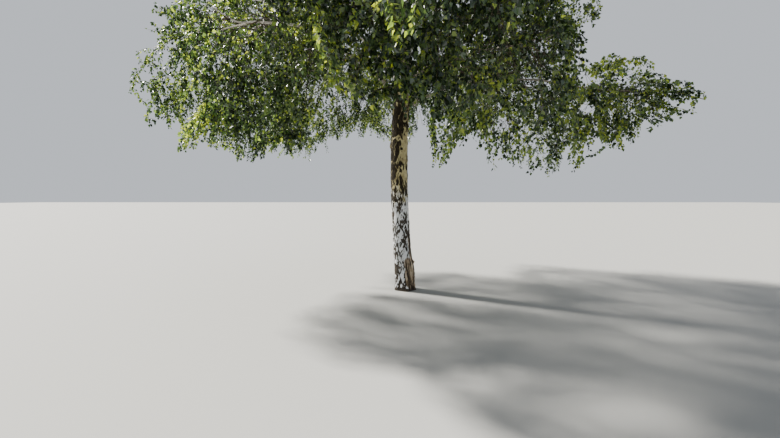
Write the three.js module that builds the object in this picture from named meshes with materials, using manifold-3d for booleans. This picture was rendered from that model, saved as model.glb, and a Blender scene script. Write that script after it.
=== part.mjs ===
// Silver birch in full summer leaf: one trunk, its main boughs, and the masses of weeping foliage.
//
// Millimetres, +Z up. The origin is the middle of the flat cut under the trunk, at ground level.
// Seen from the front, +X is to the right and +Y is away. Azimuths turn from +X towards +Y.

import * as THREE from "three";
import { mergeVertices } from "three/addons/utils/BufferGeometryUtils.js";
import Module from "manifold-3d";

const wasm = await Module();
wasm.setup();

// Driving dimensions.
const TREE_HEIGHT = 11000;
const TRUNK_TIP = 10500; // the leader ends inside the top foliage
const STEM_RADIUS = 132; // the trunk at the ground, without its root flare
const TIP_RADIUS = 7;
const TAPER_POWER = 1.7; // a high power keeps the lower stem nearly cylindrical
const FLARE_DEPTH = 24;
const FLARE_HEIGHT = 210;
const FLARE_RIBS = 5;
const RIB_SHARE = 0.45; // how much of the flare comes and goes between its ribs
const BURL_DEPTH = 26; // the rough swelling low on the right of the trunk
const BURL_HEIGHT = 290;
const BURL_SPREAD = 170;
const BURL_AZIMUTH = -18;
const SWAY = 90; // how far the trunk leans to the left before it turns back
const SWAY_LENGTH = 3700;
const DEEP_SWAY = 45; // and how far it leans away, over a longer stretch
const DEEP_SWAY_LENGTH = 5200;
const BOUGH_ARCH = 0.2; // how high a bough arches over, as a share of its run
const BOUGH_STEEP_PART = 0.22; // the share of its run in which it climbs steeply
const BOUGH_COLLAR = 0.38; // how much of its thickness at the trunk is the collar there
const SEAT_GAP = 0.5; // left between pieces that grow into each other
const MASS_GAP = 24; // air between two masses of foliage
const LOBES = 15; // the rounded clumps and hanging tresses that each mass is made of
const LOBE_DEPTH = 0.42; // how deep the creases between them are, as a share of the mass's reach
const LOBE_FOCUS = 6.5; // a higher value makes them narrower
const TRESS_SPREAD = 0.5; // how unevenly long the hanging ones are
const EASING = 9; // how tightly a mass fills the room between its neighbours
const FULLNESS = 2.2; // 2 would make a mass an ellipsoid, and more makes it squarer
const HEART = 0.54; // how far up a mass its widest part is, as a share of its height
const LEAN_OUT = 0.3; // a mass hangs outwards by this much for each unit downwards
const UNDERSIDE_RISE = 0.34; // the skirt's underside climbs this much for each unit inwards
const TIP_CIRCLE = 0.8; // where its lowest tips hang, as a share of a mass's reach

// The skirt of weeping foliage, mass by mass: its azimuth, how far from the trunk it reaches,
// and its lowest tip and its top. The two great masses on the left lean out less than the rest.
// The right side is narrower, apart from one long low arm.
const SKIRT_INNER = 850;
const SKIRT_HALF_WIDTH = 1300;
const SKIRT = [
  { name: "front", azimuth: -87, reach: 3560, low: 1640, top: 4500, bough: 2900 },
  { name: "front_left", azimuth: -134, reach: 3300, low: 1300, top: 5100, bough: 3060, lean: 0.15 },
  { name: "left", azimuth: 178, reach: 3850, low: 1480, top: 5300, bough: 2780, lean: 0.1 },
  { name: "back_left", azimuth: 134, reach: 3700, low: 1950, top: 5000, bough: 3120 },
  { name: "back", azimuth: 91, reach: 3560, low: 2200, top: 4700, bough: 2860 },
  { name: "back_right", azimuth: 49, reach: 3500, low: 2050, top: 5000, bough: 3080 },
  { name: "right", azimuth: 8, reach: 2780, low: 1300, top: 4400, bough: 3200 },
  { name: "front_right", azimuth: -47, reach: 2680, low: 1250, top: 4250, bough: 3020 },
];
const ARM = {
  name: "right_arm", azimuth: -17, reach: 3920, inner: 2000,
  halfWidth: 560, low: 1880, top: 3080, bough: 2680,
};
const ARM_NEIGHBOURS = ["skirt_right", "skirt_front_right"];
const ARM_LANE = 70; // from the middle of the arm's bough to the foliage on either side

// The tiers above the skirt, each a ring of equal masses round the trunk.
const TIERS = [
  {
    name: "middle", count: 6, turn: 24, inner: 380, reach: 3250, halfWidth: 1560,
    low: 3350, top: 7700, stagger: 700, boughFrom: 3900, boughStep: 140, boughRadius: 33,
  },
  {
    name: "high", count: 5, turn: 55, inner: 150, reach: 2450, halfWidth: 1400,
    low: 5550, top: 9900, stagger: 600, boughFrom: 6050, boughStep: 150, boughRadius: 21,
  },
];
const TIER_TURN_SPREAD = 14; // how much the masses of one ring differ in azimuth and reach
const TIER_REACH_SPREAD = 0.1;
const CROWN_TOP = {
  name: "top", azimuth: 0, inner: -1050, reach: 1050, halfWidth: 1050,
  low: 8200, top: TREE_HEIGHT, lean: 0,
};
const SKIRT_BOUGH_RADIUS = 41;
const ARM_BOUGH_RADIUS = 36;

// How finely the solids are faceted.
const TRUNK_SIDES = 14;
const TRUNK_RINGS = 26;
const RING_CROWDING = 1.6; // above 1, the rings crowd together towards the ground
const BOUGH_SIDES = 6;
const BOUGH_RINGS = 7;
const MASS_DETAIL = 3;
const WELD = 1e-3; // corners closer than this are one
const FACING = 1e-6; // a direction that turns less than this towards a plane never meets it

const TRUNK_BARK = { name: "trunk_bark", color: 0xb9b7ab, roughness: 0.85, metalness: 0 };
const BOUGH_BARK = { name: "bough_bark", color: 0x6e6256, roughness: 0.8, metalness: 0 };
const FOLIAGE = { name: "foliage", color: 0x4d6b2a, roughness: 0.65, metalness: 0 };

const radians = THREE.MathUtils.degToRad;
const UP = new THREE.Vector3(0, 0, 1);
const GOLDEN_ANGLE = Math.PI * (3 - Math.sqrt(5));
const random = THREE.MathUtils.seededRandom;

function outward(azimuth) {
  return new THREE.Vector3(Math.cos(radians(azimuth)), Math.sin(radians(azimuth)), 0);
}

// A geometry with only its positions, and each shared corner kept once.
function welded(geometry) {
  geometry.deleteAttribute("normal");
  geometry.deleteAttribute("uv");
  return mergeVertices(geometry, WELD);
}

// The geometry with every vertex moved to where the function puts it.
function reshaped(geometry, place) {
  const position = geometry.getAttribute("position");
  const vertex = new THREE.Vector3();
  for (let i = 0; i < position.count; i++) {
    vertex.fromBufferAttribute(position, i);
    const moved = place(vertex);
    position.setXYZ(i, moved.x, moved.y, moved.z);
  }
  return geometry;
}

function toSolid(geometry) {
  return new wasm.Manifold(
    new wasm.Mesh({
      numProp: 3,
      vertProperties: new Float32Array(geometry.getAttribute("position").array),
      triVerts: new Uint32Array(geometry.index.array),
    }),
  );
}

// The largest body of a solid, as a geometry: a cut can leave slivers beside it.
function largestBody(solid) {
  const bodies = solid.decompose();
  bodies.sort((a, b) => b.volume() - a.volume());
  const mesh = bodies[0].getMesh();
  return new THREE.BufferGeometry()
    .setAttribute("position", new THREE.BufferAttribute(new Float32Array(mesh.vertProperties), 3))
    .setIndex(new THREE.BufferAttribute(new Uint32Array(mesh.triVerts), 1));
}

// The trunk leans left, straightens below the crown, and wanders less and less above it.
function trunkAxis(height) {
  const calm = 1 + (height / (2 * SWAY_LENGTH)) ** 2;
  const left = SWAY * Math.sin((Math.PI * height) / SWAY_LENGTH);
  const away = DEEP_SWAY * Math.sin((Math.PI * height) / DEEP_SWAY_LENGTH);
  return new THREE.Vector3(-left / calm, away / calm, height);
}

// Taper, then the ribs of the root flare, then the burl.
function trunkRadius(height, angle) {
  const share = Math.min(height / TRUNK_TIP, 1);
  const stem = TIP_RADIUS + (STEM_RADIUS - TIP_RADIUS) * (1 - share ** TAPER_POWER);
  const ribs = 1 + RIB_SHARE * Math.cos(FLARE_RIBS * angle + 1);
  const flare = FLARE_DEPTH * ribs * Math.exp(-height / FLARE_HEIGHT);
  const facing = Math.max(Math.cos(angle - radians(BURL_AZIMUTH)), 0) ** 3;
  const burl = BURL_DEPTH * facing * Math.exp(-(((height - BURL_HEIGHT) / BURL_SPREAD) ** 2));
  return stem + flare + burl;
}

// Its rings lie level, so the foot is one flat cut.
function trunkGeometry(extra) {
  const cylinder = new THREE.CylinderGeometry(1, 1, 1, TRUNK_SIDES, TRUNK_RINGS);
  return welded(
    reshaped(cylinder, (v) => {
      const share = v.y + 0.5;
      const height = (TRUNK_TIP + extra) * share ** RING_CROWDING;
      const angle = Math.atan2(-v.z, v.x);
      const radius = Math.hypot(v.x, v.z) * (trunkRadius(height, angle) + extra);
      const centre = trunkAxis(height);
      return new THREE.Vector3(
        centre.x + radius * Math.cos(angle),
        centre.y + radius * Math.sin(angle),
        height,
      );
    }),
  );
}

// The lobes of a mass point evenly every way, on a golden-angle spiral that starts straight up.
// They differ in length, the hanging ones most.
function lobesOf(seed) {
  return Array.from({ length: LOBES }, (_, i) => {
    const height = 1 - (2 * i) / (LOBES - 1);
    const turn = i * GOLDEN_ANGLE + seed;
    const wide = Math.sqrt(1 - height * height);
    const spread = height < 0 ? TRESS_SPREAD : TRESS_SPREAD / 3;
    const length = i ? 1 - spread * random(100 * seed + i) : 1;
    return { direction: new THREE.Vector3(wide * Math.cos(turn), wide * Math.sin(turn), height), length };
  });
}

// A mass's own sizes, from its azimuth and from where it starts, reaches, hangs to and tops out.
// The top mass starts at minus its reach, so it sits right round the trunk.
function describeMass(spec, seed) {
  const out = outward(spec.azimuth);
  const around = new THREE.Vector3().crossVectors(UP, out);
  const heartHeight = spec.low + HEART * (spec.top - spec.low);
  return {
    ...spec,
    lobes: lobesOf(seed),
    out,
    around,
    heart: trunkAxis(heartHeight).addScaledVector(out, (spec.inner + spec.reach) / 2),
    deep: (spec.reach - spec.inner) / 2,
    up: spec.top - heartHeight,
    down: heartHeight - spec.low,
    planes: [],
  };
}

// How far a mass reaches from its heart, before its neighbours are taken into account.
function freeReach(mass, direction) {
  const across = Math.abs(direction.dot(mass.out) + mass.lean * direction.z) / mass.deep;
  const along = Math.abs(direction.dot(mass.around)) / mass.halfWidth;
  const vertical = Math.abs(direction.z) / (direction.z > 0 ? mass.up : mass.down);
  return (across ** FULLNESS + along ** FULLNESS + vertical ** FULLNESS) ** (-1 / FULLNESS);
}

// With its lobes, and eased in under the planes that bound it: never past any of them.
function massReach(mass, direction, extra) {
  const bulges = mass.lobes.map(
    (lobe) => lobe.length * Math.exp(LOBE_FOCUS * (direction.dot(lobe.direction) - 1)),
  );
  const lobed = freeReach(mass, direction) * (1 - LOBE_DEPTH + LOBE_DEPTH * Math.max(...bulges));
  let sum = lobed ** -EASING;
  for (const plane of mass.planes) {
    const towards = direction.dot(plane.normal);
    if (towards > FACING) {
      sum += ((plane.offset - mass.heart.dot(plane.normal)) / towards) ** -EASING;
    }
  }
  return sum ** (-1 / EASING) + extra;
}

function massGeometry(mass, extra) {
  const ball = new THREE.IcosahedronGeometry(1, MASS_DETAIL);
  return welded(
    reshaped(ball, (v) => {
      const direction = v.clone().normalize();
      return mass.heart.clone().addScaledVector(direction, massReach(mass, direction, extra));
    }),
  );
}

// Each pair of masses is parted by one plane, placed by how far each would reach towards the other.
function partMasses(masses) {
  masses.forEach((one, i) =>
    masses.slice(i + 1).forEach((other) => {
      const normal = new THREE.Vector3().subVectors(other.heart, one.heart);
      const apart = normal.length();
      normal.normalize();
      const mine = freeReach(one, normal);
      const theirs = freeReach(other, normal.clone().negate());
      const between = one.heart.dot(normal) + (apart * mine) / (mine + theirs);
      one.planes.push({ normal, offset: between - MASS_GAP / 2 });
      other.planes.push({ normal: normal.clone().negate(), offset: -between - MASS_GAP / 2 });
    }),
  );
}

// Keeps a mass of a ring off the trunk, so that the crown is open along its middle.
function clearTrunk(mass) {
  const axis = trunkAxis(mass.heart.z);
  mass.planes.push({ normal: mass.out.clone().negate(), offset: -axis.dot(mass.out) - mass.inner });
}

// The underside of the skirt climbs from its outer tips towards the trunk, over the open space below.
function raiseUnderside(mass) {
  const normal = mass.out.clone().multiplyScalar(-UNDERSIDE_RISE).sub(UP).normalize();
  const tip = mass.out.clone().multiplyScalar(TIP_CIRCLE * mass.reach).setZ(mass.low);
  mass.planes.push({ normal, offset: tip.dot(normal) });
}

// The masses on both sides of the long arm leave a lane between them, where its bough runs out.
function leaveLane(mass, along) {
  const side = Math.sign(mass.heart.dot(along.around) - trunkAxis(along.bough).dot(along.around));
  const normal = along.around.clone().multiplyScalar(-side);
  mass.planes.push({ normal, offset: trunkAxis(along.bough).dot(normal) - ARM_LANE });
}

// A bough leaves the trunk rising steeply and arches over towards the heart of its mass. It is
// thickest at its collar, and thin enough at its end to vanish among the foliage.
function boughGeometry(mass) {
  const foot = trunkAxis(mass.bough);
  const end = mass.heart.clone();
  const run = new THREE.Vector3().subVectors(end, foot);
  const outwards = run.dot(mass.out);
  const crest = Math.max(run.z, 0) + BOUGH_ARCH * Math.hypot(run.x, run.y);
  const passing = (share, rise) =>
    foot.clone().addScaledVector(mass.out, share * outwards).addScaledVector(UP, rise * crest);
  const path = new THREE.CubicBezierCurve3(
    foot,
    passing(BOUGH_STEEP_PART, 0.6),
    passing(0.6, 1),
    end,
  );
  const cylinder = new THREE.CylinderGeometry(1, 1, 1, BOUGH_SIDES, BOUGH_RINGS);
  return welded(
    reshaped(cylinder, (v) => {
      const share = v.y + 0.5;
      const side = new THREE.Vector3().crossVectors(path.getTangent(share), mass.around).normalize();
      const collar = 1 - BOUGH_COLLAR + BOUGH_COLLAR * Math.exp(-6 * share);
      const thick = mass.boughRadius * collar * (1.25 - share);
      return path
        .getPoint(share)
        .addScaledVector(side, v.x * thick)
        .addScaledVector(mass.around, v.z * thick);
    }),
  );
}

function named(name, geometry, surface) {
  const mesh = new THREE.Mesh(geometry, new THREE.MeshStandardMaterial(surface));
  mesh.name = name;
  return mesh;
}

const skirt = SKIRT.map((spec) => ({
  lean: LEAN_OUT,
  ...spec,
  name: "skirt_" + spec.name,
  inner: SKIRT_INNER,
  halfWidth: SKIRT_HALF_WIDTH,
  boughRadius: SKIRT_BOUGH_RADIUS,
}));
const tiers = TIERS.flatMap((tier) =>
  Array.from({ length: tier.count }, (_, i) => {
    const shift = tier.stagger * ((i % 2) - 0.5);
    const turn = TIER_TURN_SPREAD * (random(tier.low + i) - 0.5);
    return {
      ...tier,
      name: tier.name + "_" + (i + 1),
      azimuth: tier.turn + (360 * i) / tier.count + turn,
      reach: tier.reach * (1 - TIER_REACH_SPREAD * random(tier.top + i)),
      low: tier.low + shift,
      top: tier.top + shift,
      lean: LEAN_OUT,
      bough: tier.boughFrom + tier.boughStep * ((i * 2) % tier.count),
    };
  }),
);
const arm = { ...ARM, lean: LEAN_OUT, boughRadius: ARM_BOUGH_RADIUS };

const masses = [...skirt, arm, ...tiers, CROWN_TOP].map(describeMass);
partMasses(masses);
const armMass = masses.find((mass) => mass.name === ARM.name);
for (const mass of masses) {
  if (mass.boughRadius) clearTrunk(mass);
  if (mass.name.startsWith("skirt")) raiseUnderside(mass);
  if (ARM_NEIGHBOURS.includes(mass.name)) leaveLane(mass, armMass);
}

const tree = new THREE.Group();
tree.add(named("trunk", trunkGeometry(0), TRUNK_BARK));

const trunkRoom = toSolid(trunkGeometry(SEAT_GAP));
for (const mass of masses) {
  if (mass.boughRadius) {
    const limb = toSolid(boughGeometry(mass))
      .subtract(trunkRoom)
      .subtract(toSolid(massGeometry(mass, SEAT_GAP)));
    tree.add(named("bough_" + mass.name, largestBody(limb), BOUGH_BARK));
    tree.add(named("foliage_" + mass.name, massGeometry(mass, 0), FOLIAGE));
  } else {
    const round = toSolid(massGeometry(mass, 0)).subtract(trunkRoom);
    tree.add(named("foliage_" + mass.name, largestBody(round), FOLIAGE));
  }
}

export default tree;
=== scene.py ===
import math

import bpy
import numpy as np
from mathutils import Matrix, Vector
from mathutils.bvhtree import BVHTree


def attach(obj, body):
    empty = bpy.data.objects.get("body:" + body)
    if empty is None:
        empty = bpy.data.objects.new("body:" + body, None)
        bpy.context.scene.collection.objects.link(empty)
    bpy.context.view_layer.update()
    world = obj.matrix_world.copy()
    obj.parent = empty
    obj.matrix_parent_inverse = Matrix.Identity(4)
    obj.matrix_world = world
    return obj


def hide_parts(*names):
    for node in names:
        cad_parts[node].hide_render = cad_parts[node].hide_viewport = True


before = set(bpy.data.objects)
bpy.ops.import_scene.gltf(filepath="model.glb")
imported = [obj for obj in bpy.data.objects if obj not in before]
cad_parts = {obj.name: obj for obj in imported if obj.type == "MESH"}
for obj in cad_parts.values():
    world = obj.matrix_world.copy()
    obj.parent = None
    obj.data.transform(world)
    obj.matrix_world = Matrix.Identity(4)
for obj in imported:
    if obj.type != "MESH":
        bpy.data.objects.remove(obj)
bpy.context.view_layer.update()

# The viewpoint: a level wide-angle camera at eye height, close in front of the crown, so that
# the nearest foliage hangs only two metres away and the view's top edge cuts the crown.
view_width = 780
view_middle = (390, 219)
horizon_row = 197
sensor_width = 36.0
lens_length = 17.2
columns_per_slope = lens_length / sensor_width * view_width
camera_place = np.array([-0.224, -5.55, 1.37])
looking_level = (math.radians(90), 0, 0)


def add_object(name, data):
    """A new object in the scene."""
    item = bpy.data.objects.new(name, data)
    bpy.context.scene.collection.objects.link(item)
    return item


camera_data = bpy.data.cameras.new("camera")
camera_data.lens = lens_length
camera_data.sensor_width = sensor_width
camera_data.sensor_fit = "HORIZONTAL"
camera_data.shift_y = (horizon_row - view_middle[1]) / view_width
camera_data.clip_start = 0.05
camera_data.clip_end = 500.0
camera = add_object("camera", camera_data)
camera.location = camera_place
camera.rotation_euler = looking_level
bpy.context.scene.camera = camera


# The trunk: one stem, white near the foot and crossed there by many dark splits in the papery
# bark. From chest height up it is corky and dark with cream streaks, and pale again inside the
# crown. It stands in the ground, and the boughs grow out of it.
trunk_height = 10.5
low_part_height = 3.0
low_part_rings = 330
high_part_rings = 130
trunk_sides = 120
side_bend = -0.090
side_bend_length = 3.7
back_bend = 0.045
back_bend_length = 5.2
bends_fade_by = 7.4
tip_radius = 0.007
stem_radius = 0.125
taper_power = 1.7
flare_depth = 0.024
flare_ribs = 5
rib_depth = 0.45
rib_turn = 1
flare_height = 0.21
swelling_depth = 0.026
swelling_bearing = math.radians(-18)
swelling_height = 0.29
swelling_half_height = 0.17
bark_radius = 0.14
split_twist = 2.4
streak_twist = 1.1
# The side of the trunk painted lighter, as painted light; the opposite side is painted darker, as painted
# shade.
painted_lit_side = math.radians(-15)
white_bark_top = 1.33
white_edge_blur = 0.16
corky_bark_top = 3.3
full_relief_radius = 0.12
least_relief = 0.12
split_depth = 0.004
cork_thickness = 0.004
crumble_depth = 0.0035
grain_depth = 0.0008
wave_depth = 0.003
scar_bearing = math.radians(-40)
scar_half_width = math.radians(46)
scar_height = 0.26
scar_half_height = 0.25
scar_tail_bearing = math.radians(-30)
scar_tail_half_width = 0.34
scar_tail_height = 0.63
scar_tail_half_height = 0.27
scar_tail_strength = 0.9
scar_raggedness = 0.45
strip_depth = 0.006
knob_size = 0.026
knot_size = 0.020
foot_lip = 0.01


def trunk_middle(height):
    """The middle of the trunk at these heights: its slight lean, which calms down with height."""
    calm = 1 + (height / bends_fade_by) ** 2
    x = side_bend * np.sin(math.pi * height / side_bend_length) / calm
    y = back_bend * np.sin(math.pi * height / back_bend_length) / calm
    return np.stack([x, y, height + 0 * x], axis=-1)


def trunk_radius(height, bearing):
    """The trunk's radius: its taper, the ribs of its root flare, and the swelling low on one side."""
    stem = tip_radius + stem_radius * (1 - np.minimum(height / trunk_height, 1) ** taper_power)
    ribs = 1 + rib_depth * np.cos(flare_ribs * bearing + rib_turn)
    flare = flare_depth * ribs * np.exp(-height / flare_height)
    facing = np.maximum(np.cos(bearing - swelling_bearing), 0) ** 3
    above_middle = (height - swelling_height) / swelling_half_height
    swelling = swelling_depth * facing * np.exp(-(above_middle ** 2))
    return stem + flare + swelling


def smoothstep(low, high, value):
    """0 below low, 1 above high, and eased between them."""
    share = np.clip((value - low) / (high - low), 0, 1)
    return share * share * (3 - 2 * share)


def noise(points, seed, octaves=3):
    """Smooth noise between about -1 and 1 for an array of points, from a lattice of random values."""
    side = 32
    octave_shift = 5.7
    lattice = np.random.default_rng(seed).uniform(-1, 1, (side, side, side))
    total = 0
    for octave in range(octaves):
        place_in = points * 2 ** octave + octave_shift * octave
        cell = np.floor(place_in).astype(int)
        share = place_in - cell
        share = share * share * (3 - 2 * share)
        value = 0
        for corner in np.ndindex(2, 2, 2):
            weight = np.prod(np.where(corner, share, 1 - share), axis=-1)
            value = value + weight * lattice[tuple(((cell + corner) % side)[..., k] for k in range(3))]
        total = total + value / 2 ** octave
    return total


def angle_between(bearing, other):
    """The angle from one bearing to another, between minus and plus half a turn."""
    return (bearing - other + math.pi) % (2 * math.pi) - math.pi


def make_mesh(name, points, quads=(), triangles=(), quad_slots=None, triangle_slots=None):
    """A mesh from arrays of points, four-sided faces and three-sided faces."""
    quads = np.asarray(quads, dtype=np.int32).reshape(-1, 4)
    triangles = np.asarray(triangles, dtype=np.int32).reshape(-1, 3)
    corners = np.concatenate([quads.ravel(), triangles.ravel()])
    sizes = np.concatenate([np.full(len(quads), 4), np.full(len(triangles), 3)])
    starts = np.concatenate([[0], np.cumsum(sizes)[:-1]]).astype(np.int32)
    mesh = bpy.data.meshes.new(name)
    mesh.vertices.add(len(points))
    mesh.vertices.foreach_set("co", np.asarray(points, dtype=np.float32).ravel())
    mesh.loops.add(len(corners))
    mesh.loops.foreach_set("vertex_index", corners)
    mesh.polygons.add(len(sizes))
    mesh.polygons.foreach_set("loop_start", starts)
    if quad_slots is not None:
        slots = np.concatenate([quad_slots, triangle_slots]).astype(np.int32)
        mesh.polygons.foreach_set("material_index", slots)
    mesh.update(calc_edges=True)
    return mesh


def number_rings(rings, sides):
    """The numbers of the points on rings, of the points beside them, and of the faces between."""
    index = np.arange(rings * sides).reshape(rings, sides)
    beside = np.roll(index, -1, axis=1)
    return index, beside, np.stack([index[:-1], beside[:-1], beside[1:], index[1:]], axis=-1).reshape(-1, 4)


def place(name, mesh, materials, slot, *nodes, smooth=True):
    """Puts a piece into the scene, riding on the tree, with its finish and the nodes it stands for."""
    piece = add_object(name, mesh)
    for material in materials:
        mesh.materials.append(material)
    mesh.polygons.foreach_set("use_smooth", np.full(len(mesh.polygons), smooth))
    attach(piece, "root")
    if nodes:
        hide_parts(*nodes)


def feed(tree, socket, value):
    """Puts another socket's output or a plain value into a socket."""
    if isinstance(value, bpy.types.NodeSocket):
        tree.links.new(value, socket)
    else:
        socket.default_value = value


def adjust(tree, node, **settings):
    """Gives a node these properties and inputs. Each input is a socket or a plain value."""
    for key, value in settings.items():
        if key in node.bl_rna.properties:
            setattr(node, key, value)
        else:
            feed(tree, node.inputs[key.replace("_", " ")], value)
    return node


def add(tree, kind, **settings):
    """A node with these properties and inputs."""
    return adjust(tree, tree.nodes.new(kind), **settings)


def ramp(tree, source, stops):
    """A colour ramp of (place, colour) stops, fed by source."""
    node = add(tree, "ShaderNodeValToRGB", Fac=source)
    elements = node.color_ramp.elements
    while len(elements) < len(stops):
        elements.new(0.5)
    for element, (at, colour) in zip(elements, stops):
        element.position = at
        element.color = (*colour, 1)
    return node.outputs["Color"]


def mix(tree, factor, first, second):
    """A mix of two colours. Each input is a socket or a plain value."""
    node = add(tree, "ShaderNodeMix", data_type="RGBA")
    for number, value in zip((0, 6, 7), (factor, first, second)):
        feed(tree, node.inputs[number], value)
    return node.outputs[2]


def calculate(tree, operation, first, second, clamp=False):
    """A maths node. Each input is a socket or a number."""
    node = add(tree, "ShaderNodeMath", operation=operation, use_clamp=clamp)
    feed(tree, node.inputs[0], first)
    feed(tree, node.inputs[1], second)
    return node.outputs[0]


def new_material(name):
    """A material, with its node tree and its shader."""
    material = bpy.data.materials.new(name)
    material.use_nodes = True
    return material, material.node_tree, material.node_tree.nodes["Principled BSDF"]


# The bark's own texture, shared by trunk, boughs and twigs: fine mottling, fibres that run up the
# stem, and the short level pores that birch bark is dashed with.
texture_roughness = 0.65
pore_threshold = 0.62
pore_sharpness = 16.0
bark_texture = bpy.data.node_groups.new("bark texture", "ShaderNodeTree")
for socket_name, value in (("Mottle Scale", 9.0), ("Fibre Scale", 60.0), ("Pore Scale", 26.0)):
    socket = bark_texture.interface.new_socket(socket_name, in_out="INPUT", socket_type="NodeSocketFloat")
    socket.default_value = value
for socket_name in ("Mottle", "Fibre", "Pores"):
    bark_texture.interface.new_socket(socket_name, in_out="OUTPUT", socket_type="NodeSocketFloat")
given = add(bark_texture, "NodeGroupInput")
coordinates = add(bark_texture, "ShaderNodeTexCoord")
textures = {}
for texture_name, stretch, detail in (("Mottle", 0.8, 6.0), ("Fibre", 0.25, 5.0), ("Pore", 6.0, 2.0)):
    mapping = add(
        bark_texture, "ShaderNodeMapping",
        Scale=(1.0, 1.0, stretch), Vector=coordinates.outputs["Object"],
    )
    texture = add(
        bark_texture, "ShaderNodeTexNoise", Detail=detail, Roughness=texture_roughness,
        Vector=mapping.outputs["Vector"], Scale=given.outputs[texture_name + " Scale"],
    )
    textures[texture_name] = texture.outputs["Fac"]
pore_edge = calculate(bark_texture, "SUBTRACT", textures["Pore"], pore_threshold)
pore_mask = calculate(bark_texture, "MULTIPLY", pore_edge, pore_sharpness, clamp=True)
add(
    bark_texture, "NodeGroupOutput",
    Mottle=textures["Mottle"], Fibre=textures["Fibre"], Pores=pore_mask,
)


def use_bark_texture(tree, mottle, fibre, pore):
    """The bark texture group, at these scales."""
    group = add(tree, "ShaderNodeGroup", node_tree=bark_texture)
    return adjust(tree, group, Mottle_Scale=mottle, Fibre_Scale=fibre, Pore_Scale=pore).outputs


trunk_heights = np.concatenate([
    np.linspace(0, low_part_height, low_part_rings, endpoint=False),
    np.linspace(low_part_height, trunk_height, high_part_rings),
])
turns = np.linspace(-math.pi, math.pi, trunk_sides, endpoint=False)
height, bearing = np.meshgrid(trunk_heights, turns, indexing="ij")


def on_bark(twist, across, along, sway=0.0):
    """Places on the bark for the noise, in cells across and along it, sheared round by twist."""
    turned = bearing + twist * height + sway
    rounded = np.stack([np.cos(turned), np.sin(turned)], axis=-1) * bark_radius * across
    return np.concatenate([rounded, (height * along)[..., None]], axis=-1)


def lump(at_height, half_height, at_bearing, half_width):
    """A round lump on the bark, 1 at its middle."""
    turn = angle_between(bearing, at_bearing) / half_width
    return np.exp(-(((height - at_height) / half_height) ** 2) - turn ** 2)


# Where the bark is split or streaked: patterns across it, and how the marks thicken towards the foot.
# On the side turned from the painted lit side the splits thicken and the pale streaks narrow, as
# painted shade; on the lit side the pale streaks widen, as painted light. "split" is for the white
# bark, "streak" for the corky bark above it.
split_threshold = 0.22
more_splits_at_foot = 0.15
more_splits_as_painted_shade = 0.20
split_patchiness = 0.12
split_raggedness = 0.08
streak_width = 0.050
wider_streaks_as_painted_light = 0.22
narrower_streaks_as_painted_shade = 0.06
narrower_streaks_above = 0.015
streak_curl = 0.24
streak_contrast = 1.6
streak_raggedness = 0.15
high_split_threshold = 0.62
more_splits_in_low_crown = 0.16
ragged = noise(on_bark(0, 24, 12), 11)
curl = streak_curl * noise(on_bark(0, 12, 10), 19, 2)
wide = noise(on_bark(0, 5, 2.2), 12)
crossing = np.maximum(noise(on_bark(split_twist, 44, 15), 13), noise(on_bark(-split_twist, 44, 15), 14))
# How far each point of the bark faces the side painted lighter.
facing_painted_lit_side = np.cos(angle_between(bearing, painted_lit_side))
splits = (
    crossing - split_threshold + more_splits_at_foot * smoothstep(0.6, 0.3, height)
    + more_splits_as_painted_shade * smoothstep(-0.3, -0.8, facing_painted_lit_side)
    + split_patchiness * wide + split_raggedness * ragged
)
streak_edge = (
    streak_width
    + wider_streaks_as_painted_light * smoothstep(0.30, 0.85, facing_painted_lit_side) * smoothstep(2.45, 2.15, height)
    - narrower_streaks_as_painted_shade * smoothstep(0.0, -0.6, facing_painted_lit_side)
    - narrower_streaks_above * smoothstep(2.1, 2.4, height)
)
streaks = np.minimum(
    np.abs(noise(on_bark(streak_twist, 17, 4.2, curl), 15, 2)),
    np.abs(noise(on_bark(-streak_twist, 13, 3.4, curl), 16, 2)),
)
corky = streak_contrast * (streaks - streak_edge) + streak_raggedness * ragged
high_splits = crossing - high_split_threshold + more_splits_in_low_crown * smoothstep(5.5, 3.3, height)

# Where one bark gives way to the next: the edges wander with the patterns, and the white bark
# ends lower on the side turned from the painted lit side, as painted shade.
white_edge_wave = 0.22
white_edge_raggedness = 0.20
white_edge_curl = 0.30
white_edge_fall_as_painted_shade = 0.14
corky_edge_below = 0.3
corky_edge_above = 0.5
corky_edge_wave = 0.25
foot_dark_height = 0.07
foot_dark_raggedness = 0.03
foot_darkness = 0.8
white_edge = (
    height + white_edge_wave * wide + white_edge_raggedness * ragged + white_edge_curl * curl
    + white_edge_fall_as_painted_shade * smoothstep(-0.1, -0.7, facing_painted_lit_side)
)
above_white = smoothstep(white_bark_top - white_edge_blur, white_bark_top + white_edge_blur, white_edge)
above_corky = smoothstep(
    corky_bark_top - corky_edge_below, corky_bark_top + corky_edge_above, height + corky_edge_wave * wide
)
mark = splits + (corky - splits) * above_white
mark = mark + (high_splits - mark) * above_corky
age = above_white * (1 - above_corky)
foot_edge = smoothstep(foot_dark_height, 0.0, height + foot_dark_raggedness * ragged)
mark = mark + foot_darkness * foot_edge
scar_turn = angle_between(bearing, scar_bearing) / scar_half_width
scar = 1 - np.abs((height - scar_height) / scar_half_height) ** 3 - np.abs(scar_turn) ** 3
tail_turn = angle_between(bearing, scar_tail_bearing) / scar_tail_half_width
scar_tail = scar_tail_strength - ((height - scar_tail_height) / scar_tail_half_height) ** 2 - tail_turn ** 2
scar = smoothstep(-0.15, 0.35, np.maximum(scar, scar_tail) + scar_raggedness * ragged)
dark = smoothstep(-0.08, 0.14, mark)
slim = np.clip(trunk_radius(height, bearing) / full_relief_radius, least_relief, 1)
knob = lump(at_height=0.41, half_height=0.020, at_bearing=-0.10, half_width=0.10)
knot = lump(at_height=2.14, half_height=0.05, at_bearing=math.pi, half_width=0.25)
rough = noise(on_bark(0, 60, 26), 17)
strips = noise(on_bark(0.6, 42, 5), 18)
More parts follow.
